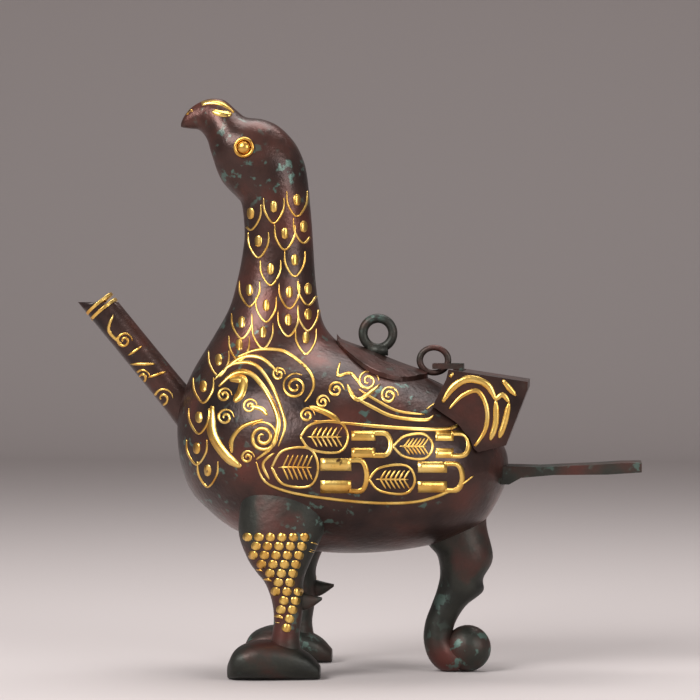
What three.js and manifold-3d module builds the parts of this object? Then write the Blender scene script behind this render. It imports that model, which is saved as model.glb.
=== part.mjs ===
// A bronze wine ewer in the form of a standing bird, with gold inlay. Millimetres, +Z up.
// The bird looks along -X. The origin is on the ground at the middle of its length and width.
import * as THREE from "three";
import { mergeVertices } from "three/addons/utils/BufferGeometryUtils.js";
import Module from "manifold-3d";

const wasm = await Module();
wasm.setup();

// Driving dimensions
const GAP = 0.4;
const WALL = 3;
const INLAY = 0.8;
const NECK_JOINT_Z = 151;
const HEAD_SOLID_Z = 212;
const BIG = 400;
const PIVOT = { x: 35, z: 137.3 };
const BAR_R = 1.3;
const LID = { x: 11, length: 41, width: 54, thick: 2, flange: 5, seat: 3 };
const LEG_Y = 35;
const HANDLE_WIDTH = 26;
const TAIL_WIDTH = 64;
const SPOUT_R = 7.15;
const SPOUT_BORE_R = 5;

// Pairs of points on the back line (d) and the front and belly line (v), with the half width (w) between them.
const BODY = [
  { d: [-80, 246.8], v: [-80, 245], w: 0.8 },
  { d: [-78.5, 250], v: [-78.5, 244.6], w: 2.2 },
  { d: [-75, 254], v: [-75.5, 244.2], w: 3.5 },
  { d: [-70, 256.8], v: [-72, 243.7], w: 5 },
  { d: [-65, 257.8], v: [-69.5, 241.5], w: 7 },
  { d: [-60, 256.8], v: [-67.8, 238.5], w: 9 },
  { d: [-55, 252.5], v: [-66.5, 234], w: 11 },
  { d: [-50.5, 249.3], v: [-65, 229.5], w: 13.5 },
  { d: [-43, 248.3], v: [-63.5, 225], w: 15 },
  { d: [-36, 245.3], v: [-61, 220], w: 15.5 },
  { d: [-29.5, 239], v: [-57.5, 216], w: 15.5 },
  { d: [-25.5, 232], v: [-54.5, 213], w: 15.3 },
  { d: [-23, 223], v: [-52.3, 209.5], w: 15 },
  { d: [-21, 203], v: [-51.2, 198], w: 14.2 },
  { d: [-20.2, 191], v: [-51.8, 190], w: 14 },
  { d: [-19.3, 177], v: [-54, 178], w: 15 },
  { d: [-17.8, 165], v: [-58, 163.5], w: 18 },
  { d: [-15.2, 155.5], v: [-65.5, 150], w: 22 },
  { d: [-10, 149], v: [-75, 134], w: 29 },
  { d: [-5.5, 147], v: [-80.2, 120], w: 36 },
  { d: [0, 145], v: [-81.5, 108], w: 42 },
  { d: [6, 142.5], v: [-80, 93.5], w: 47 },
  { d: [12, 139.8], v: [-75.5, 81.5], w: 50 },
  { d: [19, 137], v: [-68, 73], w: 52 },
  { d: [26, 134.5], v: [-55, 63.3], w: 52 },
  { d: [34, 131], v: [-35, 56.5], w: 51 },
  { d: [42, 127], v: [-13, 53.4], w: 49 },
  { d: [50, 122], v: [8, 53.5], w: 45 },
  { d: [56, 117], v: [28, 56], w: 40 },
  { d: [61, 110], v: [43, 60], w: 33 },
  { d: [64.5, 104], v: [56, 67], w: 23 },
  { d: [67, 98], v: [64, 79], w: 12 },
  { d: [67.6, 93], v: [67, 87], w: 3 },
];

// A closed skin through rings: each ring spans from d to v, w to each side, and is grown by a margin.
function loft(stations, grow = 0, sides = 24) {
  const positions = [];
  const index = [];
  for (const { d, v, w, y = 0 } of stations) {
    const centre = [(d[0] + v[0]) / 2, (d[1] + v[1]) / 2];
    const half = [(d[0] - v[0]) / 2, (d[1] - v[1]) / 2];
    const length = Math.hypot(...half);
    const k = Math.max(length + grow, 0.1) / length;
    const side = Math.max(w + grow, 0.1);
    for (let i = 0; i < sides; i++) {
      const turn = (2 * Math.PI * i) / sides;
      const c = k * Math.cos(turn);
      positions.push(centre[0] + half[0] * c, y + side * Math.sin(turn), centre[1] + half[1] * c);
    }
  }
  const last = stations.length - 1;
  for (let ring = 0; ring < last; ring++) {
    for (let i = 0; i < sides; i++) {
      const a = ring * sides + i;
      const b = ring * sides + ((i + 1) % sides);
      index.push(a, b, b + sides, a, b + sides, a + sides);
    }
  }
  for (let i = 1; i < sides - 1; i++) {
    index.push(0, i + 1, i);
    index.push(last * sides, last * sides + i, last * sides + i + 1);
  }
  const geometry = new THREE.BufferGeometry();
  geometry.setAttribute("position", new THREE.Float32BufferAttribute(positions, 3));
  geometry.setIndex(index);
  return solid(geometry);
}

// Turns a closed geometry into a solid whose faces point out.
function solid(geometry) {
  const bare = geometry.clone();
  bare.deleteAttribute("normal");
  bare.deleteAttribute("uv");
  const merged = mergeVertices(bare, 1e-3);
  const p = merged.attributes.position;
  const triVerts = new Uint32Array(merged.index.array);
  const corner = [new THREE.Vector3(), new THREE.Vector3(), new THREE.Vector3()];
  let volume = 0;
  for (let i = 0; i < triVerts.length; i += 3) {
    corner.forEach((c, k) => c.fromBufferAttribute(p, triVerts[i + k]));
    volume += corner[0].dot(corner[1].cross(corner[2]));
  }
  if (volume < 0) {
    for (let i = 0; i < triVerts.length; i += 3) {
      [triVerts[i + 1], triVerts[i + 2]] = [triVerts[i + 2], triVerts[i + 1]];
    }
  }
  return new wasm.Manifold(
    new wasm.Mesh({ numProp: 3, vertProperties: new Float32Array(p.array), triVerts }),
  );
}

function box(x0, x1, y0, y1, z0, z1) {
  const geometry = new THREE.BoxGeometry(x1 - x0, y1 - y0, z1 - z0);
  return solid(geometry.translate((x0 + x1) / 2, (y0 + y1) / 2, (z0 + z1) / 2));
}

// A side outline in X and Z, extruded between two Y values.
function slab(outline, y0, y1) {
  const shape = new THREE.Shape(outline.map(([x, z]) => new THREE.Vector2(x, z)));
  const geometry = new THREE.ExtrudeGeometry(shape, { depth: y1 - y0, bevelEnabled: false });
  return solid(geometry.rotateX(Math.PI / 2).translate(0, y1, 0));
}

// An upright elliptical column, from z0 up.
function column(x, halfX, halfY, z0, height) {
  const geometry = new THREE.CylinderGeometry(1, 1, height, 36).rotateX(Math.PI / 2);
  return solid(geometry.scale(halfX, halfY, 1).translate(x, 0, z0 + height / 2));
}

function ring(x, y, z, radius, tube, stretchX = 1, stretchZ = 1, sides = 8, steps = 24) {
  const geometry = new THREE.TorusGeometry(radius, tube, sides, steps).rotateX(Math.PI / 2);
  return solid(geometry.scale(stretchX, 1, stretchZ).translate(x, y, z));
}

function rodAlongY(x, z, radius, y0, y1) {
  const geometry = new THREE.CylinderGeometry(radius, radius, y1 - y0, 20);
  return solid(geometry.translate(x, (y0 + y1) / 2, z));
}

const group = new THREE.Group();

// Adds a solid to the model as a named mesh, and its mirror image across the bird's middle where asked.
function piece(name, shape, material, mirrored = false) {
  const mesh = shape.getMesh();
  const geometry = new THREE.BufferGeometry();
  const positions = new Float32Array(mesh.vertProperties);
  const index = Array.from(mesh.triVerts);
  if (mirrored) {
    for (let i = 1; i < positions.length; i += 3) positions[i] = -positions[i];
    index.reverse();
  }
  geometry.setAttribute("position", new THREE.BufferAttribute(positions, 3));
  geometry.setIndex(index);
  const result = new THREE.Mesh(geometry, material());
  result.name = name;
  group.add(result);
}

function pair(name, shape, material) {
  piece(name + "_left", shape, material);
  piece(name + "_right", shape, material, true);
}

const bronze = () => new THREE.MeshStandardMaterial({ color: 0x3a2a26, roughness: 0.38, metalness: 0.85 });
const darkBronze = () => new THREE.MeshStandardMaterial({ color: 0x2a2a26, roughness: 0.55, metalness: 0.7 });
const gold = () => new THREE.MeshStandardMaterial({ color: 0xd9a33c, roughness: 0.3, metalness: 1 });

const outside = loft(BODY);
const clear = loft(BODY, GAP);
const cavityStations = BODY.filter(({ d }) => d[1] < HEAD_SOLID_Z).slice(0, -2);
const cavity = loft(cavityStations, -WALL);
const goldLayer = loft(BODY, GAP + INLAY).subtract(clear);
const clearOfGold = loft(BODY, GAP + INLAY + GAP);

// Spout: a tube that rises forward from the breast. s runs from inside the wall (0) to the mouth (1).
const SPOUT_ROOT = { x: -70, z: 108 };
const SPOUT_MOUTH = { x: -124, z: 173.5 };
const SPOUT_RIM_Z = 166;

function spoutStation(s, radius) {
  const dx = SPOUT_MOUTH.x - SPOUT_ROOT.x;
  const dz = SPOUT_MOUTH.z - SPOUT_ROOT.z;
  const length = Math.hypot(dx, dz);
  const across = [(radius * dz) / length, (-radius * dx) / length];
  const x = SPOUT_ROOT.x + s * dx;
  const z = SPOUT_ROOT.z + s * dz;
  return { d: [x + across[0], z + across[1]], v: [x - across[0], z - across[1]], w: radius };
}

function spoutTube(radius, s0 = 0, s1 = 1) {
  return loft([spoutStation(s0, radius), spoutStation(s1, radius)], 0, 20);
}

const belowRim = box(-BIG, BIG, -BIG, BIG, -BIG, SPOUT_RIM_Z);
const spoutOutside = spoutTube(SPOUT_R).intersect(belowRim);
const spout = spoutOutside.subtract(clear).subtract(spoutTube(SPOUT_BORE_R, -0.1, 1.1));
const spoutBand = (s0, s1) =>
  spoutTube(SPOUT_R + GAP + INLAY, s0, s1).subtract(spoutTube(SPOUT_R + GAP, s0 - 0.1, s1 + 0.1));

// Body: hollow, with the opening under the lid, the pouring hole and a shallow recess under the hinge.
const opening = column(LID.x, LID.length / 2 - LID.seat, LID.width / 2 - LID.seat, 115, 60);
const hingeRecess = rodAlongY(PIVOT.x, PIVOT.z, 9, -3.5, 3.5);
const vessel = outside
  .subtract(cavity)
  .intersect(box(-BIG, BIG, -BIG, BIG, 0, NECK_JOINT_Z - GAP / 2))
  .subtract(opening)
  .subtract(hingeRecess)
  .subtract(spoutTube(SPOUT_BORE_R, -0.1, 0.9));
piece("body_vessel", vessel, bronze);
const neck = outside.subtract(cavity).intersect(box(-BIG, BIG, -BIG, BIG, NECK_JOINT_Z + GAP / 2, BIG));
piece("neck_and_head", neck, bronze);
piece("spout", spout, bronze);
piece("spout_band_lower", spoutBand(0.79, 0.805), gold);
piece("spout_band_upper", spoutBand(0.825, 0.84), gold);

// Head trim: gold crescents on the beak, and round eyes.
const CRESCENT = [
  [-77, 250.6], [-73, 254.2], [-69, 254.9], [-65.5, 252.2], [-62, 249.6],
  [-58, 249], [-55, 250.4], [-57, 254], [-61, 256], [-66, 256.7], [-72, 255.6],
];
const EYE = { x: -50, z: 235, y: 16.2, rim: 3.9, tube: 0.8, boss: 2.8 };
pair("beak_inlay", goldLayer.intersect(slab(CRESCENT, -30, -1)), gold);
pair("eye_rim", ring(EYE.x, -EYE.y, EYE.z, EYE.rim, EYE.tube, 1, 1, 5, 16).subtract(clear), gold);
const boss = solid(new THREE.SphereGeometry(EYE.boss, 12, 8).translate(EYE.x, -EYE.y, EYE.z));
pair("eye_boss", boss.subtract(clear), gold);

// Tail: a wedge behind the lid, notched for the hinge, and the flat handle below it.
const TAIL = [
  [34, 118], [41, 132], [42, 136.3], [60, 133.5], [76.8, 131], [76.8, 127.7], [67.3, 103], [55, 100],
];
const tail = slab(TAIL, -TAIL_WIDTH / 2, TAIL_WIDTH / 2)
  .subtract(clearOfGold)
  .subtract(box(0, 48, -26, 26, 90, 150));
piece("tail_wedge", tail.decompose().sort((a, b) => b.volume() - a.volume())[0], bronze);
const HANDLE = [
  [60, 85], [68.2, 84.8], [73.6, 87.8], [88, 89.1], [112, 89.4], [127.1, 90.4],
  [127.1, 94.6], [118, 94.5], [106, 93.7], [82, 92.6], [60, 93],
];
const handle = slab(HANDLE, -HANDLE_WIDTH / 2, HANDLE_WIDTH / 2).subtract(clear);
piece("tail_handle", handle, darkBronze);

// Legs. The front pair have a spur behind the ankle and a broad foot with a flat sole.
const aboveGround = box(-BIG, BIG, -BIG, BIG, 0, BIG);
const SHANK = [
  { d: [-6, 86], v: [-48, 86], w: 10 },
  { d: [-12.3, 66], v: [-50.5, 66], w: 13 },
  { d: [-17.7, 53.7], v: [-46.7, 53.7], w: 12 },
  { d: [-20.5, 47.3], v: [-42.6, 47.3], w: 10.5 },
  { d: [-21.8, 42], v: [-38.5, 42], w: 9 },
  { d: [-21.5, 34], v: [-35.6, 34], w: 7.5 },
  { d: [-22.5, 26], v: [-34.8, 26], w: 6.5 },
  { d: [-23.5, 18], v: [-35.8, 18], w: 7 },
  { d: [-22, 9], v: [-38, 9], w: 8 },
];
const SPUR = [
  { d: [-27, 40], v: [-27, 30], w: 3 },
  { d: [-20, 37.5], v: [-20, 30.5], w: 2.5 },
  { d: [-13.5, 36], v: [-13.5, 34.8], w: 0.6 },
];
const FOOT = [
  { d: [-54.8, 7], v: [-54.8, -3], w: 7 },
  { d: [-52, 12.5], v: [-52, -4], w: 12 },
  { d: [-47, 15.5], v: [-47, -5], w: 14 },
  { d: [-40, 17], v: [-40, -5], w: 14 },
  { d: [-30, 16], v: [-30, -5], w: 11.5 },
  { d: [-20, 11.5], v: [-20, -4], w: 8.5 },
  { d: [-14.5, 6], v: [-14.5, -3], w: 5.5 },
];
const atLeg = (stations) => stations.map((station) => ({ ...station, y: -LEG_Y }));
const leg = loft(atLeg(SHANK), 0, 16)
  .add(loft(atLeg(SPUR), 0, 8))
  .add(loft(atLeg(FOOT), 0, 20))
  .intersect(aboveGround)
  .subtract(clear);
piece("left_front_leg", leg, darkBronze);
piece("right_front_leg", leg, darkBronze, true);

// The rear leg runs down from a beast's face and curls into a ball.
const REAR_LEG = [
  { d: [64, 78], v: [28, 62], w: 12 },
  { d: [57.8, 68], v: [31.5, 57.5], w: 12.5 },
  { d: [60.8, 51.5], v: [35.7, 52.1], w: 12 },
  { d: [56.5, 42], v: [37, 44], w: 10.5 },
  { d: [56.3, 36], v: [35.6, 36.7], w: 9.5 },
  { d: [48.8, 29.7], v: [33, 29.5], w: 8.5 },
  { d: [44, 22.2], v: [30.4, 22.2], w: 8 },
  { d: [42.6, 16], v: [29.6, 14], w: 8 },
  { d: [43.5, 13], v: [32, 5.7], w: 8 },
  { d: [46, 12], v: [37.5, -0.5], w: 8 },
  { d: [50, 11], v: [45, -1.3], w: 8 },
];
const ball = solid(new THREE.SphereGeometry(10.4, 20, 14).translate(49.5, 0, 10.3));
const rearLeg = loft(REAR_LEG, 0, 16).add(ball).intersect(aboveGround).subtract(clear);
piece("rear_leg", rearLeg, darkBronze);

// Lid: a plate that follows the back, with a flange that drops into the opening.
const lidShape = (grow) => column(LID.x, LID.length / 2 + grow, LID.width / 2 + grow, 110, 60);
const lidTop = loft(BODY, GAP + LID.thick);
const plate = lidTop.subtract(clear).intersect(lidShape(0));
const flangeBand = lidShape(-LID.seat - 1.2).subtract(lidShape(-LID.seat - 3));
const flange = loft(BODY, GAP + 1).subtract(loft(BODY, -LID.flange)).intersect(flangeBand);
piece("lid", plate.add(flange).intersect(box(-BIG, BIG, -BIG, BIG, 115, BIG)), bronze);
const lidClear = loft(BODY, GAP + LID.thick + GAP);
const ringBase = box(4.5, 13.5, -2.5, 2.5, 139, 147);
piece("lid_ring", ring(9, 0, 152, 6.7, 2.1).add(ringBase).subtract(lidClear), darkBronze);
const loop = ring(PIVOT.x - 0.8, 0, PIVOT.z + 2.6, 6, 1.4, 1.06, 0.94).subtract(lidClear);
piece("lid_hinge_loop", loop.decompose().sort((a, b) => b.volume() - a.volume())[0], darkBronze);
const arm = (side) => box(PIVOT.x - 1.2, 47.6, side * 6 - 1, side * 6 + 1, PIVOT.z - 1.2, PIVOT.z + 1.2);
const eye = rodAlongY(PIVOT.x, PIVOT.z, BAR_R, -6.8, 6.8).add(arm(1)).add(arm(-1));
piece("tail_hinge_eye", eye.add(box(45.6, 47.6, -7, 7, 131, PIVOT.z + 1.2)).subtract(clear), darkBronze);

// Wing inlay. Outlines are as seen from 1.5 m to the left and 4 degrees behind, and are brought to the wing.
const onWing = ([x, z]) => [0.97 * (x + 3.6) - 0.5, 0.97 * (z - 165) + 165];
const inlay = (name, outline) =>
  pair(name, goldLayer.intersect(slab(outline.map(onWing), -70, -8)), gold);
const leaf = (x0, x1, z0, z1) => [
  [x0, (z0 + z1) / 2], [x0 + 5, z0 + 1], [x1 - 5, z0], [x1, z0 + 4], [x1, z1 - 4], [x1 - 5, z1], [x0 + 5, z1 - 1],
];
const plateWithSlot = (x0, x1, z0, z1) => {
  const mid = (z0 + z1) / 2;
  const slot = (z1 - z0) / 8;
  return [
    [x0, z0], [x1 - 4, z0], [x1, z0 + 4], [x1, z1 - 4], [x1 - 4, z1], [x0, z1],
    [x0, mid + slot], [x1 - 6, mid + slot], [x1 - 6, mid - slot], [x0, mid - slot],
  ];
};
inlay("upper_leaf_front", leaf(-26, -4.5, 98.5, 112));
inlay("upper_plate_front", plateWithSlot(-3, 14.8, 96, 108));
inlay("upper_leaf_rear", leaf(16.5, 33, 95.6, 106.6));
inlay("upper_plate_rear", plateWithSlot(35, 50, 96, 108));
inlay("lower_leaf_front", leaf(-39, -19, 83, 100));
inlay("lower_plate_front", plateWithSlot(-17, 4, 80, 95.7));
inlay("lower_leaf_rear", leaf(6, 25, 80, 92.5));
inlay("lower_plate_rear", plateWithSlot(27, 46, 80.5, 94.3));

export default group;
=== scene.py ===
"""A bronze wine ewer in the form of a standing bird, inlaid with gold.

Lengths are in millimetres, and mesh_object turns them into metres. The lamps and the height of the surface
grain are given in metres. The bird faces -X, so its left side is at -Y.
"""
import math

import bmesh
import bpy
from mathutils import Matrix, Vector
from mathutils.bvhtree import BVHTree


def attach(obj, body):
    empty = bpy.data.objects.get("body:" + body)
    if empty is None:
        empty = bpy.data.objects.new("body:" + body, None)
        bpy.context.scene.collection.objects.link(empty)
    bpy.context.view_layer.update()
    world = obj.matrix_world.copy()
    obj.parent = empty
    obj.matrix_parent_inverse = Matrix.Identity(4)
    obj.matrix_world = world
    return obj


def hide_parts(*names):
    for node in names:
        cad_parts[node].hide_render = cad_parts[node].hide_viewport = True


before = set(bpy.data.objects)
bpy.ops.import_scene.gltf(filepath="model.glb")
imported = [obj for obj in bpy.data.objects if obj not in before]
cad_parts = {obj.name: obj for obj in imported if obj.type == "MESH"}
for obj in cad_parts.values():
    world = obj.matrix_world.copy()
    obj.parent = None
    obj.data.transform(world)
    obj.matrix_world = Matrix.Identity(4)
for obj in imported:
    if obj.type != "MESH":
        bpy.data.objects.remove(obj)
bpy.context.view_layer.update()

MM = 0.001
SIDES = (("left", -1), ("right", 1))

# Hollow, lid opening and hinge
WALL = 3.0
HOLLOW_TOP_Z = 212
SOLID_TAIL_STATIONS = 2
OPENING_X = 11
OPENING_HALF_LENGTH = 17.5
OPENING_HALF_WIDTH = 24
OPENING_LOW_Z, OPENING_HIGH_Z = 115, 175
PIVOT_X, PIVOT_Z = 35.0, 137.3
RECESS_RADIUS = 9
RECESS_HALF_WIDTH = 3.5

# Spout. Places along it are shares of the way from its root to its mouth.
SPOUT_ROOT = (-66, 103.1)
SPOUT_MOUTH = (-124, 173.5)
SPOUT_RIM_Z = 166
SPOUT_RADIUS = 7.15
SPOUT_STEPS = 8
TUBE_START, TUBE_END = 0.14, 1
FLARE, FLARE_END = 1.6, 0.45
BORE_RADIUS = 5
BORE_START, BORE_END_IN_BODY, BORE_END = -0.1, 0.5, 1.1
BAND_RADIUS = 7.5
BANDS = ((0.84, 0.855, "spout_band_lower"), (0.875, 0.89, "spout_band_upper"))
ABOVE_RIM = ((-200, -30, SPOUT_RIM_Z), (0, 30, 260))

# Legs, lid fittings and eyes
LEG_Y = 35.0
FOOT_SQUARENESS = 0.75
CURL_CENTRE, CURL_RADIUS, CURL_FLATNESS = (49.5, 0, 10.5), 10.4, 0.9
RING_CENTRE, RING_RADIUS, RING_TUBE = (9, 0, 152), 6.7, 2.1
RING_BASE = ((4.5, -2.4, 142), (13.5, 2.4, 146.5))
LOOP_CENTRE = (PIVOT_X - 0.8, 0, PIVOT_Z + 2.6)
LOOP_RADIUS, LOOP_TUBE, LOOP_STRETCH = 6, 1.4, (1.06, 0.94)
EYE_X, EYE_Z = -50, 235
EYE_RIM_Y, EYE_RIM_RADIUS, EYE_RIM_TUBE = 15.6, 3.9, 0.75
EYE_Y, EYE_RADIUS, EYE_FLATNESS = 15.2, 3.0, 0.8

# Gold strips, above and below the surface that they lie in
GOLD_PROUD = 0.35
GOLD_DEEP = 0.5

# Stations of the lofts. Each is back line x and z, front and belly line x and z, and half width.
BODY = [
    (-80, 246.8, -80, 245, 0.8), (-78.5, 250, -78.5, 244.6, 2.2), (-75, 254, -75.5, 244.2, 3.5),
    (-70, 256.8, -72, 243.7, 5), (-65, 257.8, -69.5, 241.5, 7), (-60, 256.8, -67.8, 238.5, 9),
    (-55, 252.5, -66.5, 234, 11), (-50.5, 249.3, -65, 229.5, 13.5), (-43, 248.3, -63.5, 225, 15),
    (-36, 245.3, -61, 220, 15.5), (-29.5, 239, -57.5, 216, 15.5), (-25.5, 232, -54.5, 213, 15.3),
    (-23, 223, -52.3, 209.5, 15), (-21, 203, -51.2, 198, 14.2), (-20.2, 191, -51.8, 190, 14),
    (-19.3, 177, -54, 178, 15), (-17.8, 165, -58, 163.5, 18), (-15.2, 155.5, -65.5, 150, 22),
    (-10, 149, -75, 134, 29), (-5.5, 147, -80.2, 120, 36), (0, 145, -81.5, 108, 42),
    (6, 142.5, -80, 93.5, 47), (12, 139.8, -75.5, 81.5, 50), (19, 137, -68, 73, 52),
    (26, 134.5, -55, 63.3, 52), (34, 131, -35, 56.5, 51), (42, 127, -13, 53.4, 49),
    (50, 122, 8, 53.5, 45), (56, 117, 28, 56, 40), (61, 110, 43, 60, 33),
    (64.5, 104, 56, 67, 23), (67, 98, 64, 79, 12), (67.6, 93, 67, 87, 3),
]
SHANK = [
    (-6, 86, -48, 86, 10), (-12.3, 66, -50.5, 66, 13), (-17.7, 53.7, -46.7, 53.7, 12),
    (-20.5, 47.3, -42.6, 47.3, 10.5), (-21.8, 42, -38.5, 42, 9), (-21.5, 34, -35.6, 34, 7.5),
    (-22.5, 26, -34.8, 26, 6.5), (-23.5, 18, -35.8, 18, 7), (-22, 9, -38, 9, 8),
]
SPUR = [(-27, 40, -27, 30, 3), (-20, 37.5, -20, 30.5, 2.5), (-13.5, 36, -13.5, 34.8, 0.6)]
FOOT = [
    (-54.8, 7, -54.8, 0.2, 7), (-52, 12.5, -52, 0, 12), (-47, 15.5, -47, 0, 14), (-40, 17, -40, 0, 14),
    (-30, 16, -30, 0, 11.5), (-20, 11.5, -20, 0, 8.5), (-14.5, 6, -14.5, 0.2, 5.5),
]
REAR_LEG = [
    (62, 82, 30, 66, 11), (57.8, 68, 31.5, 57.5, 12.5), (60.8, 51.5, 35.7, 52.1, 12),
    (56.5, 42, 37, 44, 10.5), (56.3, 36, 35.6, 36.7, 9.5), (48.8, 29.7, 33, 29.5, 8.5),
    (44, 22.2, 30.4, 22.2, 8), (42.6, 16, 29.6, 14, 8), (43.5, 13, 32, 5.7, 8),
    (46, 12, 37.5, 0.4, 8), (50, 11, 45, 0.1, 8),
]


def between(a, b, c, d, t):
    """The value at t, from 0 to 1, on the smooth way from b to c, where a comes before b and d after c."""
    bend = 2 * a - 5 * b + 4 * c - d
    twist = 3 * b - a - 3 * c + d
    return 0.5 * (2 * b + (c - a) * t + bend * t**2 + twist * t**3)


def smooth(points, steps):
    """A smooth curve through rows of numbers, with the same count of steps between each two of them."""
    rows = []
    last = len(points) - 1
    for i in range(last):
        before, start, end, after = points[max(i - 1, 0)], points[i], points[i + 1], points[min(i + 2, last)]
        for step in range(steps):
            t = step / steps
            rows.append([between(*values, t) for values in zip(before, start, end, after)])
    rows.append(list(points[last]))
    return rows


def mesh_object(name, verts, faces, material=None):
    """A smooth-shaded object in metres from vertices in millimetres, with its faces pointing out."""
    mesh = bpy.data.meshes.new(name)
    mesh.from_pydata([Vector(v) * MM for v in verts], [], faces)
    work = bmesh.new()
    work.from_mesh(mesh)
    bmesh.ops.recalc_face_normals(work, faces=work.faces)
    work.to_mesh(mesh)
    work.free()
    mesh.shade_smooth()
    piece = bpy.data.objects.new(name, mesh)
    bpy.context.scene.collection.objects.link(piece)
    if material:
        mesh.materials.append(material)
    return piece


def loft(name, stations, material=None, sides=64, steps=6, grow=0.0, y=0.0, blunt=1.0):
    """A closed skin through rings that span the two lines. blunt under 1 squares the rings' sides."""
    thinnest = 0.1
    verts, faces = [], []
    rings = smooth(stations, steps)
    for back_x, back_z, front_x, front_z, width in rings:
        middle_x, middle_z = (back_x + front_x) / 2, (back_z + front_z) / 2
        half_x, half_z = (back_x - front_x) / 2, (back_z - front_z) / 2
        half = math.hypot(half_x, half_z)
        swell = max(half + grow, thinnest) / half
        for i in range(sides):
            turn = 2 * math.pi * i / sides
            c, s = math.cos(turn), math.sin(turn)
            c = math.copysign(abs(c) ** blunt, c)
            s = math.copysign(abs(s) ** blunt, s)
            across = y + max(width + grow, thinnest) * s
            verts.append((middle_x + half_x * swell * c, across, middle_z + half_z * swell * c))
    for ring in range(len(rings) - 1):
        here, there = ring * sides, (ring + 1) * sides
        for i in range(sides):
            j = (i + 1) % sides
            faces.append((here + i, here + j, there + j, there + i))
    faces.append(list(range(sides)))
    faces.append(list(range((len(rings) - 1) * sides, len(rings) * sides)))
    return mesh_object(name, verts, faces, material)


def torus(name, centre, radius, tube, material, stretch=(1, 1)):
    """A ring that stands in the XZ plane. stretch is its scale along X and Z."""
    verts, faces = [], []
    around, across = 64, 20
    for i in range(around):
        turn = 2 * math.pi * i / around
        next_i = (i + 1) % around
        for j in range(across):
            roll = 2 * math.pi * j / across
            next_j = (j + 1) % across
            reach = radius + tube * math.cos(roll)
            x = centre[0] + stretch[0] * reach * math.cos(turn)
            y = centre[1] + tube * math.sin(roll)
            z = centre[2] + stretch[1] * reach * math.sin(turn)
            verts.append((x, y, z))
            faces.append((i * across + j, next_i * across + j, next_i * across + next_j, i * across + next_j))
    return mesh_object(name, verts, faces, material)


def ball(name, centre, radius, material, flat):
    """A sphere whose width along Y is flat times its height."""
    work = bmesh.new()
    bmesh.ops.create_uvsphere(work, u_segments=40, v_segments=24, radius=radius)
    verts = [(v.co.x + centre[0], v.co.y * flat + centre[1], v.co.z + centre[2]) for v in work.verts]
    work.verts.index_update()
    faces = [[v.index for v in f.verts] for f in work.faces]
    work.free()
    return mesh_object(name, verts, faces, material)


def block(name, low, high, material=None):
    """A box between two corners."""
    corners = [(x, y, z) for x in (low[0], high[0]) for y in (low[1], high[1]) for z in (low[2], high[2])]
    faces = [(0, 1, 3, 2), (4, 6, 7, 5), (0, 4, 5, 1), (2, 3, 7, 6), (0, 2, 6, 4), (1, 5, 7, 3)]
    return mesh_object(name, corners, faces, material)


def column(name, x, half_x, half_y, z0, z1):
    """An upright oval column."""
    stations = [(x + half_x, z, x - half_x, z, half_y) for z in (z0, z1)]
    return loft(name, stations, sides=72, steps=1)


def drum(name, x, z, radius, half_width):
    """A short cylinder along Y."""
    sides = 48
    turns = [2 * math.pi * i / sides for i in range(sides)]
    circle = [(x + radius * math.cos(turn), z + radius * math.sin(turn)) for turn in turns]
    verts = [(px, y, pz) for y in (-half_width, half_width) for px, pz in circle]
    faces = [(i, (i + 1) % sides, (i + 1) % sides + sides, i + sides) for i in range(sides)]
    faces += [tuple(range(sides)), tuple(range(sides, 2 * sides))]
    return mesh_object(name, verts, faces)


def cut(piece, tool):
    """Takes the tool's shape out of the piece and deletes the tool."""
    modifier = piece.modifiers.new("cut", "BOOLEAN")
    modifier.operation = "DIFFERENCE"
    modifier.solver = "EXACT"
    modifier.object = tool
    graph = bpy.context.evaluated_depsgraph_get()
    mesh = bpy.data.meshes.new_from_object(piece.evaluated_get(graph))
    piece.modifiers.clear()
    piece.data = mesh
    bpy.data.objects.remove(tool)


def surface_tree(piece):
    """The piece's surface as it is now, for a line of sight to meet."""
    return BVHTree.FromObject(piece, bpy.context.evaluated_depsgraph_get())


def place(piece, body, slot, *replaced):
    """Says what the piece moves with and the nodes that it stands for. The slot, its finish, is not used."""
    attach(piece, body)
    if replaced:
        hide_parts(*replaced)


# Materials
BLACK = (0, 0, 0)
WHITE = (1, 1, 1)
GREEN_CRUST = (0.075, 0.12, 0.1)
WORN_BROWN = (0.12, 0.06, 0.03)
DARK_GOLD = (0.62, 0.31, 0.06)
MIDDLE_GOLD = (0.86, 0.56, 0.15)
PALE_GOLD = (0.95, 0.7, 0.26)
GRAIN_HEIGHT = 0.0006


def shader(name, roughness, metallic):
    material = bpy.data.materials.new(name)
    material.use_nodes = True
    tree = material.node_tree
    bsdf = tree.nodes["Principled BSDF"]
    bsdf.inputs["Metallic"].default_value = metallic
    bsdf.inputs["Roughness"].default_value = roughness
    return material, tree, bsdf


def noise(tree, scale, detail=6.0):
    coordinates = tree.nodes.new("ShaderNodeTexCoord")
    node = tree.nodes.new("ShaderNodeTexNoise")
    node.inputs["Scale"].default_value = scale
    node.inputs["Detail"].default_value = detail
    tree.links.new(coordinates.outputs["Object"], node.inputs["Vector"])
    return node.outputs["Fac"]


def ramp(tree, factor, stops):
    """Turns a factor into a colour, through stops of (position, colour)."""
    node = tree.nodes.new("ShaderNodeValToRGB")
    node.color_ramp.elements[0].position = stops[0][0]
    node.color_ramp.elements[1].position = stops[-1][0]
    for position, _ in stops[1:-1]:
        node.color_ramp.elements.new(position)
    for element, (_, colour) in zip(node.color_ramp.elements, stops):
        element.color = (*colour, 1)
    tree.links.new(factor, node.inputs["Fac"])
    return node.outputs["Color"]


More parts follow.
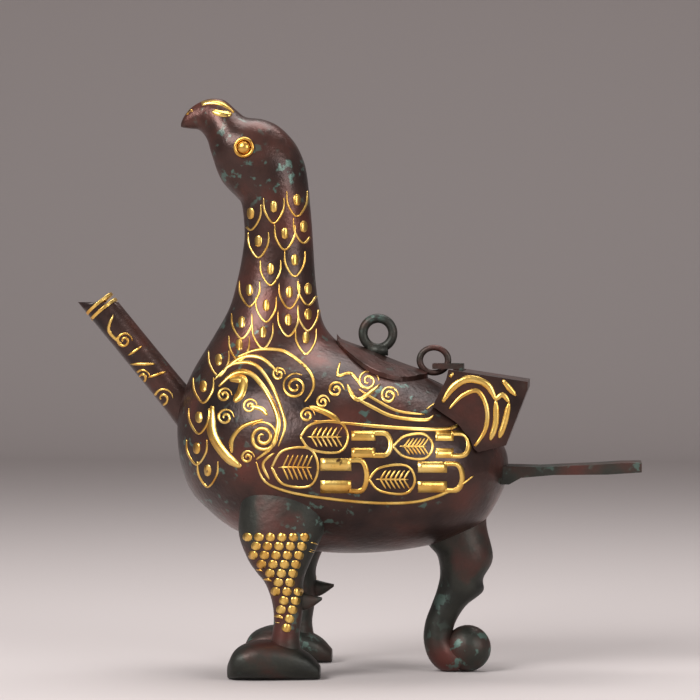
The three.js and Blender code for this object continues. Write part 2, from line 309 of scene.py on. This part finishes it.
def blend(tree, factor, base, colour):
    """Mixes a plain colour over the base by the factor."""
    node = tree.nodes.new("ShaderNodeMix")
    node.data_type = "RGBA"
    tree.links.new(factor, node.inputs["Factor"])
    tree.links.new(base, node.inputs["A"])
    node.inputs["B"].default_value = (*colour, 1)
    return node.outputs["Result"]


def finish_surface(tree, bsdf, colour, rough_low, rough_high, bump):
    """Links the colour, an uneven roughness and a fine cast grain."""
    tree.links.new(colour, bsdf.inputs["Base Color"])
    rough = tree.nodes.new("ShaderNodeMapRange")
    rough.inputs["To Min"].default_value = rough_low
    rough.inputs["To Max"].default_value = rough_high
    tree.links.new(noise(tree, scale=140), rough.inputs["Value"])
    tree.links.new(rough.outputs["Result"], bsdf.inputs["Roughness"])
    height = tree.nodes.new("ShaderNodeBump")
    height.inputs["Strength"].default_value = bump
    height.inputs["Distance"].default_value = GRAIN_HEIGHT
    tree.links.new(noise(tree, scale=420, detail=8), height.inputs["Height"])
    tree.links.new(height.outputs["Normal"], bsdf.inputs["Normal"])


def patina(name, dark, brown, red, green_above, rough):
    """Browned bronze with green spots that gather in fields. A lower green_above gives more of them."""
    material, tree, bsdf = shader(name, rough, metallic=0.55)
    base = ramp(tree, noise(tree, scale=38), [(0.32, dark), (0.5, brown), (0.72, red)])
    spots = ramp(tree, noise(tree, scale=210, detail=9), [(green_above, BLACK), (green_above + 0.05, WHITE)])
    fields = ramp(tree, noise(tree, scale=27, detail=3), [(0.5, BLACK), (0.62, WHITE)])
    both = tree.nodes.new("ShaderNodeMath")
    both.operation = "MULTIPLY"
    tree.links.new(spots, both.inputs[0])
    tree.links.new(fields, both.inputs[1])
    colour = blend(tree, both.outputs["Value"], base, GREEN_CRUST)
    finish_surface(tree, bsdf, colour, rough_low=rough - 0.08, rough_high=rough + 0.12, bump=0.35)
    return material


def gold_inlay(name):
    """Gold of uneven colour, worn through to brown in specks."""
    material, tree, bsdf = shader(name, roughness=0.28, metallic=1.0)
    base = ramp(tree, noise(tree, scale=90), [(0.3, DARK_GOLD), (0.55, MIDDLE_GOLD), (0.75, PALE_GOLD)])
    worn = ramp(tree, noise(tree, scale=160, detail=9), [(0.66, BLACK), (0.72, WHITE)])
    colour = blend(tree, worn, base, WORN_BROWN)
    finish_surface(tree, bsdf, colour, rough_low=0.2, rough_high=0.42, bump=0.2)
    return material


BRONZE = patina(
    "bronze_patina",
    dark=(0.018, 0.01, 0.009),
    brown=(0.05, 0.024, 0.019),
    red=(0.12, 0.035, 0.025),
    green_above=0.6,
    rough=0.3,
)
DARK = patina(
    "dark_patina",
    dark=(0.012, 0.013, 0.011),
    brown=(0.03, 0.03, 0.024),
    red=(0.09, 0.026, 0.02),
    green_above=0.56,
    rough=0.45,
)
GOLD = gold_inlay("gold")


def spout_stations(radius, start, end, flare=0.0):
    """Stations of a tube along the spout. flare widens its lower end."""
    dx, dz = SPOUT_MOUTH[0] - SPOUT_ROOT[0], SPOUT_MOUTH[1] - SPOUT_ROOT[1]
    length = math.hypot(dx, dz)
    rows = []
    for step in range(SPOUT_STEPS + 1):
        s = start + (end - start) * step / SPOUT_STEPS
        r = radius + flare * max(0.0, 1 - s / FLARE_END) ** 2
        x, z = SPOUT_ROOT[0] + s * dx, SPOUT_ROOT[1] + s * dz
        rows.append((x + r * dz / length, z - r * dx / length, x - r * dz / length, z + r * dx / length, r))
    return rows


def spout_bore(name, end):
    """The tube that is cut out of the spout and out of the breast behind it."""
    return loft(name, spout_stations(BORE_RADIUS, BORE_START, end), sides=32, steps=1)


# Body and head in one skin. Its tree is taken whole, before the cuts, for the gold to lie on.
# The hollow ends under the head, and before the last stations behind the belly.
skin = loft("bird_body", BODY, BRONZE, sides=96)
skin_tree = surface_tree(skin)
hollow = [station for station in BODY if station[1] < HOLLOW_TOP_Z][:-SOLID_TAIL_STATIONS]
cut(skin, loft("hollow", hollow, sides=48, steps=3, grow=-WALL))
cut(skin, column(
    "lid_opening", OPENING_X, OPENING_HALF_LENGTH, OPENING_HALF_WIDTH, OPENING_LOW_Z, OPENING_HIGH_Z))
cut(skin, drum("hinge_recess", PIVOT_X, PIVOT_Z, RECESS_RADIUS, RECESS_HALF_WIDTH))
cut(skin, spout_bore("bore_in_body", BORE_END_IN_BODY))
skin.data.shade_smooth()
place(skin, "vessel", "bronze", "body_vessel", "neck_and_head")

# Spout, cut level at its rim
tube = spout_stations(SPOUT_RADIUS, TUBE_START, TUBE_END, FLARE)
spout = loft("spout_tube", tube, BRONZE, sides=48, steps=2)
cut(spout, spout_bore("bore_in_spout", BORE_END))
cut(spout, block("above_rim", *ABOVE_RIM))
spout.data.shade_smooth()
place(spout, "vessel", "bronze", "spout")

# Gold bands of the spout. Each is a whole disc, so it closes the bore too.
for number, (start, end, node) in enumerate(BANDS):
    band = loft(f"spout_band_{number}", spout_stations(BAND_RADIUS, start, end), GOLD, sides=48, steps=1)
    place(band, "vessel", "gold", node)

# Legs
for name, side in SIDES:
    leg = loft(f"{name}_leg", SHANK, DARK, sides=40, y=side * LEG_Y)
    spur = loft(f"{name}_spur", SPUR, DARK, sides=24, y=side * LEG_Y)
    foot = loft(f"{name}_foot", FOOT, DARK, sides=40, y=side * LEG_Y, blunt=FOOT_SQUARENESS)
    place(leg, "vessel", "dark_bronze", f"{name}_front_leg")
    place(spur, "vessel", "dark_bronze")
    place(foot, "vessel", "dark_bronze")
place(loft("beast_leg", REAR_LEG, DARK, sides=40), "vessel", "dark_bronze", "rear_leg")
place(ball("beast_leg_curl", CURL_CENTRE, CURL_RADIUS, DARK, CURL_FLATNESS), "vessel", "dark_bronze")

# Lid fittings
place(torus("finger_ring", RING_CENTRE, RING_RADIUS, RING_TUBE, DARK), "lid", "dark_bronze", "lid_ring")
place(block("finger_ring_base", *RING_BASE, DARK), "lid", "dark_bronze")
hinge_loop = torus("hinge_loop", LOOP_CENTRE, LOOP_RADIUS, LOOP_TUBE, DARK, LOOP_STRETCH)
place(hinge_loop, "lid", "dark_bronze", "lid_hinge_loop")

# Eyes
for name, side in SIDES:
    rim = torus(f"{name}_eye_rim", (EYE_X, side * EYE_RIM_Y, EYE_Z), EYE_RIM_RADIUS, EYE_RIM_TUBE, GOLD)
    place(rim, "vessel", "gold", f"eye_rim_{name}")
    eye = ball(f"{name}_eye", (EYE_X, side * EYE_Y, EYE_Z), EYE_RADIUS, GOLD, EYE_FLATNESS)
    place(eye, "vessel", "gold", f"eye_boss_{name}")

# Gold inlay. Strokes are drawn in the side view, as the camera sees it, and are brought to the near surface.
MIDDLE_X = -3.6
CAMERA_DISTANCE = 1500
CAMERA_TURN = math.radians(4)
CAMERA_Z = 165
CAMERA = Vector((
    MIDDLE_X + CAMERA_DISTANCE * math.sin(CAMERA_TURN), -CAMERA_DISTANCE * math.cos(CAMERA_TURN), CAMERA_Z))
GRAZING = 0.12
STRAIGHT_STEPS = 6
SPIRAL_STEPS = 14
SPIRAL_CLOSING = 0.85
TIP_SHARE, TIP_GROWTH = 0.35, 3
LEAST_SHARE = 0.02
SAME_PLACE = 1e-6
ACROSS = (-1, 0, 1)
PROUD_ACROSS = (GOLD_PROUD / 2, GOLD_PROUD, GOLD_PROUD / 2)


def onto(x, z, tree):
    """Where the line of sight through a point of the side view meets the near surface."""
    aim = (Vector((x, 0, z)) - CAMERA).normalized()
    hit, normal, _, _ = tree.ray_cast(CAMERA * MM, aim)
    if hit is None or normal.dot(aim) > -GRAZING:
        return None
    return hit / MM, normal


def tapered(t):
    """The share of its width that a stroke has at t, from 0 to 1 along it, if it thins at both ends."""
    return min(1, TIP_SHARE + TIP_GROWTH * t, TIP_SHARE + TIP_GROWTH * (1 - t))


def even(_):
    """The share for a stroke that is as wide at its ends."""
    return 1


def rounded(t):
    """The share for an oval."""
    return math.sqrt(max(LEAST_SHARE, 1 - (2 * t - 1) ** 2))


def straight(start, end):
    """Evenly spaced points from start to end."""
    return [
        [a + (b - a) * i / STRAIGHT_STEPS for a, b in zip(start, end)] for i in range(STRAIGHT_STEPS + 1)
    ]


def stroke(points, width, share=tapered, steps=5):
    """A ribbon along a line, straight through two points and smooth through more: rows of (x, z, width)."""
    rows = smooth(points, steps) if len(points) > 2 else straight(*points)
    last = len(rows) - 1
    return [(x, z, width * share(i / last)) for i, (x, z) in enumerate(rows)]


def spiral(x, z, radius, turns=1.6, start=0.0, way=1, width=1.1):
    """A stroke that winds inwards from radius."""
    count = int(SPIRAL_STEPS * turns)
    points = []
    for i in range(count + 1):
        progress = i / count
        turn = start + way * 2 * math.pi * turns * progress
        reach = radius * (1 - SPIRAL_CLOSING * progress)
        points.append((x + reach * math.cos(turn), z + reach * math.sin(turn)))
    return stroke(points, width, steps=2)


def oval(x, z, half_long, width, lean=0.0):
    """An upright oval that leans by an angle."""
    dx, dz = half_long * math.sin(lean), half_long * math.cos(lean)
    return stroke([(x - dx, z - dz), (x, z), (x + dx, z + dz)], width, rounded)


def ribbons(name, strokes, tree, side):
    """Joins strokes into one piece of thin closed gold strips that lie in the surface.

    Side 1 leaves them on the near surface, at -Y, and side -1 mirrors them to +Y.
    """
    verts, faces = [], []
    for rows in strokes:
        strip = []
        for i, (x, z, width) in enumerate(rows):
            before, after = rows[max(i - 1, 0)], rows[min(i + 1, len(rows) - 1)]
            along = Vector((after[0] - before[0], after[1] - before[1]))
            if along.length < SAME_PLACE:
                continue
            across = Vector((-along.y, along.x)).normalized() * width / 2
            line = [onto(x + across.x * k, z + across.y * k, tree) for k in ACROSS]
            strip.append(line if all(line) else None)
        # A strip ends where it leaves the surface, and a new one starts where it comes back.
        run = []
        for line in strip + [None]:
            if line is not None:
                run.append(line)
                continue
            if len(run) > 1:
                add_strip(run, verts, faces, side)
            run = []
    return mesh_object(name, verts, faces, GOLD)


def add_strip(run, verts, faces, side):
    """Adds one closed strip. Each of its lines has an upper and a lower vertex at three places across."""
    base = len(verts)
    per_line = 2 * len(ACROSS)
    for line in run:
        for proud, (hit, normal) in zip(PROUD_ACROSS, line):
            top = hit + normal * proud
            low = hit - normal * GOLD_DEEP
            verts.append((top.x, top.y * side, top.z))
            verts.append((low.x, low.y * side, low.z))
    for r in range(len(run) - 1):
        a, b = base + per_line * r, base + per_line * (r + 1)
        for k in (0, 2):
            faces.append((a + k, a + k + 2, b + k + 2, b + k))
            faces.append((a + k + 1, b + k + 1, b + k + 3, a + k + 3))
        faces.append((a, b, b + 1, a + 1))
        faces.append((a + 4, a + 5, b + 5, b + 4))
    for r in (0, len(run) - 1):
        a = base + per_line * r
        faces.append((a, a + 1, a + 3, a + 2))
        faces.append((a + 2, a + 3, a + 5, a + 4))


def neck_feather(x, z):
    """A hanging U with an oval in it."""
    half, rise, bend, drop = 4.6, 4, 2, 7.5
    shoulder = half * 0.9
    edge = [
        (x - half, z + rise), (x - shoulder, z - bend), (x, z - drop),
        (x + shoulder, z - bend), (x + half, z + rise),
    ]
    return [stroke(edge, width=0.9), oval(x, z, half_long=2.6, width=3.1)]


def leaf_plate(x0, x1, z0, z1):
    """A leaf with a midrib and barbs inside a rim."""
    rim_width, rib_width, barb_width = 1.1, 0.9, 0.8
    barbs, barb_lean, rib_margin, front_slope = 6, 2.6, 3, 1
    front, rear = x0 + 5, x1 - 4
    mid = (z0 + z1) / 2
    reach = (z1 - z0) * 0.33
    barbed_length = x1 - x0 - 8
    rim = [
        (x0, mid), (front, z1 - front_slope), (rear, z1), (x1, mid),
        (rear, z0), (front, z0 + front_slope), (x0, mid),
    ]
    rib = [(x0 + rib_margin, mid), (x1 - rib_margin, mid)]
    parts = [stroke(rim, rim_width, even), stroke(rib, rib_width)]
    for i in range(barbs):
        x = front + i * barbed_length / barbs
        for way in (-1, 1):
            parts.append(stroke([(x + barb_lean, mid + way * reach), (x, mid)], barb_width))
    return parts


def slotted_plate(x0, x1, z0, z1):
    """Two bars with a slot between them, and a hook that joins them at the rear."""
    bar_width = (z1 - z0) * 0.36
    hook_width = 2.2
    rear = x1 - 4
    bar_heights = (z0 + bar_width / 2, z1 - bar_width / 2)
    bars = [stroke([(x0, z), (rear - 3, z)], bar_width, even) for z in bar_heights]
    hook = [
        (rear - 4, z1 - 1), (rear + 2, z1 - 1.4), (x1, (z0 + z1) / 2),
        (rear + 2, z0 + 1.4), (rear - 4, z0 + 1),
    ]
    return bars + [stroke(hook, hook_width, even)]


def shank_scales():
    """Rows of small leaning ovals down the shank. Every other row is set off by half a scale."""
    rows, per_row = 11, 6
    first_x, first_z = -50, 60
    row_shift, row_drop, spacing = 1.25, 4.1, 5.2
    scales = []
    for row in range(rows):
        for number in range(per_row):
            x = first_x + row_shift * row + spacing * number + spacing / 2 * (row % 2)
            z = first_z - row_drop * row
            scales.append(oval(x, z, half_long=1.9, width=4.2, lean=0.25))
    return scales


# The drawings: points of (x, z), and the width of each stroke
NECK_FEATHER_PLACES = [
    (-38, 209), (-27.5, 212), (-48.5, 206), (-24.5, 200), (-33, 197), (-45, 193.5),
    (-39.5, 181), (-28.5, 185), (-49, 171.5), (-31, 170.5), (-22.5, 172), (-41.5, 164.5),
    (-22.5, 160.5), (-52.5, 157), (-43, 152.5), (-31.5, 158), (-23.5, 150), (-53.7, 146.8),
    (-63, 140), (-70, 128), (-72, 114), (-73, 100), (-68, 90),
]
neck_feathers = [part for x, z in NECK_FEATHER_PLACES for part in neck_feather(x, z)]
great_curl = [(-63, 128), (-56, 134), (-49, 134), (-43, 128), (-38, 119), (-36, 111), (-39, 101), (-46, 95)]
wing_swirls = [
    stroke(great_curl, 2.2),
    stroke([(-65, 131), (-57, 138), (-47, 138), (-40, 130), (-35, 119), (-33, 110), (-36, 101)], 1.5),
    stroke([(-61, 135), (-53, 141), (-44, 141), (-36, 134)], 1.6),
    stroke([(-55, 141), (-46, 144.5), (-36, 144.5), (-30, 142), (-22, 135), (-20, 128), (-24, 121)], 1.4),
    stroke([(-56, 121), (-53, 125), (-52, 131), (-58, 131)], 4.0),
    stroke([(-66, 119), (-66, 107), (-60, 97), (-53, 91.5)], 4.2),
    stroke([(-49, 119), (-44, 118), (-41, 115)], 2.2),
    stroke([(-43, 113), (-52, 110), (-57, 104), (-57, 98)], 1.8),
    spiral(-60.5, 124, 3.5),
    spiral(-60, 114, 4),
    spiral(-49, 119, 3.6),
    spiral(-43, 105, 7.2, turns=2.2, start=2.4, way=-1, width=1.5),
    spiral(-50, 96, 3.2),
    spiral(-28.5, 128, 6, turns=2, start=1.0),
    spiral(-36, 133.5, 3.2),
    spiral(-10, 126.5, 3.8),
    spiral(-16, 121, 3.2),
    spiral(4.5, 130.5, 5, turns=1.8),
    spiral(14, 124, 4.2, turns=1.8),
    spiral(-23, 115, 3.6),
    stroke([(-8, 139), (-9, 133), (-3, 134), (2, 127)], 1.3),
    stroke([(-5, 129), (0, 122), (10, 129)], 1.8),
    stroke([(-3, 124), (6, 119), (16, 114.5), (30, 113), (34, 115)], 1.5),
    stroke([(0, 127), (8, 122), (18, 117), (30, 115.5)], 1.1),
    stroke([(-22, 119), (-14, 116), (-8, 112)], 2.4),
]
lower_band = [
    (-46, 94), (-42, 85), (-30, 80), (-10, 77), (10, 75.5), (25, 76), (35, 78.5), (45, 83), (52, 88),
]
upper_band = [
    (-20, 112.5), (-6, 111.5), (10, 110), (30, 108.8), (42, 109.5), (48, 113), (50, 118), (46, 122),
    (38, 122), (31, 118),
]
wing_bands = [
    stroke(lower_band, 1.3),
    stroke(upper_band, 1.5),
    stroke([(-38, 98), (-43, 93), (-40, 86)], 1.2),
]
wing_plates = [
    *leaf_plate(-26, -4.5, 98.5, 112),
    *slotted_plate(-3, 14.8, 96, 108),
    *leaf_plate(15.8, 33.8, 95.6, 106.6),
    *slotted_plate(35, 50, 96, 108),
    *leaf_plate(-39, -18, 83, 100),
    *slotted_plate(-17, 4, 80, 95.7),
    *leaf_plate(5, 25.7, 80, 92.5),
    *slotted_plate(27, 47, 80.5, 94.3),
]
beak_crescent = [
    stroke([(-77.5, 250.6), (-73, 254.4), (-67, 256.2), (-61, 255.2), (-56, 251.5)], 1.9),
    stroke([(-66, 252), (-62, 251), (-57, 250.6)], 2.6),
]
tail_strokes = [
    stroke([(31, 117), (34, 123), (38, 129), (43, 134)], 2.2),
    stroke([(38, 121), (43, 128), (50, 131.5), (58, 129), (62, 122)], 3.2),
    stroke([(41, 118), (47, 124), (54, 126), (58, 118), (57, 108), (50, 98)], 2.0),
    stroke([(62, 122), (62, 112), (59.5, 104)], 2.6),
    stroke([(68, 121), (66, 112), (63.5, 105)], 2.6),
    stroke([(62, 122), (65, 124.5), (68, 121)], 2.2),
    stroke([(65, 131), (71, 124)], 2.4),
    stroke([(52, 134), (58, 132.5), (64, 132)], 1.6),
]
spout_strokes = [
    stroke([(-111, 160), (-113, 153), (-107, 147)], 1.3),
    spiral(-106, 148.5, 3.8),
    spiral(-98, 132, 3.8),
    stroke([(-104, 142), (-98, 146)], 1.2),
    stroke([(-103, 138), (-92, 138)], 1.2),
    spiral(-88.5, 122.5, 4.8),
    stroke([(-95, 132), (-87, 134.5)], 1.2),
]
leg_scales = shank_scales()
WING_PLATE_NODES = [
    f"{row}_{kind}_{end}"
    for row in ("upper", "lower")
    for kind in ("leaf", "plate")
    for end in ("front", "rear")
]

# The strips named left come out at +Y, on the bird's right, and those named right on its left.
tail_tree = surface_tree(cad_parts["tail_wedge"])
leg_tree = surface_tree(bpy.data.objects["left_leg"])
spout_tree = surface_tree(spout)
for name, side in SIDES:
    plate_nodes = [f"{node}_{name}" for node in WING_PLATE_NODES]
    inlays = (
        ("neck_feathers", neck_feathers, skin_tree, []),
        ("wing_swirls", wing_swirls + wing_bands, skin_tree, []),
        ("wing_plates", wing_plates, skin_tree, plate_nodes),
        ("beak_gold", beak_crescent, skin_tree, [f"beak_inlay_{name}"]),
        ("tail_gold", tail_strokes, tail_tree, []),
        ("leg_scales", leg_scales, leg_tree, []),
        ("spout_scrolls", spout_strokes, spout_tree, []),
    )
    for title, strokes, tree, nodes in inlays:
        place(ribbons(f"{name}_{title}", strokes, tree, side), "vessel", "gold", *nodes)

# Finishes of the pieces that keep their own meshes
KEPT_NODES = {"tail_wedge": BRONZE, "lid": BRONZE, "tail_handle": DARK, "tail_hinge_eye": DARK}
for node, material in KEPT_NODES.items():
    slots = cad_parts[node].data.materials
    slots.clear()
    slots.append(material)

# Floor, backdrop, lights and camera
GROUND_COLOUR = (0.5, 0.45, 0.44)
WORLD_COLOUR = (0.55, 0.52, 0.52)
WORLD_STRENGTH = 0.55
LAMP_TARGET = Vector((0, 0, 0.13))
LENS, SENSOR = 171.4, 36
LOOK_AT_Z = 144.45


def ground():
    material, _, bsdf = shader("pale_ground", roughness=0.9, metallic=0.0)
    bsdf.inputs["Base Color"].default_value = (*GROUND_COLOUR, 1)
    return material


def sweep():
    """A floor that curves up into a wall behind the object."""
    start, radius, height, half_width, steps = 2000, 600, 4000, 4000, 24
    turns = [math.pi / 2 * i / steps for i in range(steps + 1)]
    curve = [(start + radius * math.sin(turn), radius * (1 - math.cos(turn))) for turn in turns]
    profile = [(-half_width, 0), *curve, (start + radius, height)]
    verts = [(x, y, z) for y, z in profile for x in (-half_width, half_width)]
    faces = [(2 * i, 2 * i + 1, 2 * i + 3, 2 * i + 2) for i in range(len(verts) // 2 - 1)]
    return mesh_object("sweep", verts, faces, ground())


def lamp(name, position, size, power):
    """An area lamp that points at the middle of the object. Its position and size are in metres."""
    data = bpy.data.lights.new(name, "AREA")
    data.size = size
    data.energy = power
    item = bpy.data.objects.new(name, data)
    item.location = position
    item.rotation_euler = (LAMP_TARGET - Vector(position)).to_track_quat("-Z", "Y").to_euler()
    bpy.context.scene.collection.objects.link(item)


sweep()
lamp("key", (-0.7, -0.9, 0.9), size=0.7, power=20)
lamp("fill", (0.9, -0.8, 0.5), size=0.6, power=7)
lamp("top", (0.1, 0.3, 1.2), size=0.8, power=10)

world = bpy.data.worlds.new("studio")
world.use_nodes = True
background = world.node_tree.nodes["Background"]
background.inputs["Color"].default_value = (*WORLD_COLOUR, 1)
background.inputs["Strength"].default_value = WORLD_STRENGTH
bpy.context.scene.world = world

camera_data = bpy.data.cameras.new("camera")
camera_data.lens = LENS
camera_data.sensor_width = SENSOR
camera = bpy.data.objects.new("camera", camera_data)
camera.location = CAMERA * MM
look_at = Vector((MIDDLE_X, 0, LOOK_AT_Z)) * MM
camera.rotation_euler = (look_at - camera.location).to_track_quat("-Z", "Y").to_euler()
bpy.context.scene.collection.objects.link(camera)
bpy.context.scene.camera = camera
bpy.context.scene.view_settings.view_transform = "Standard"
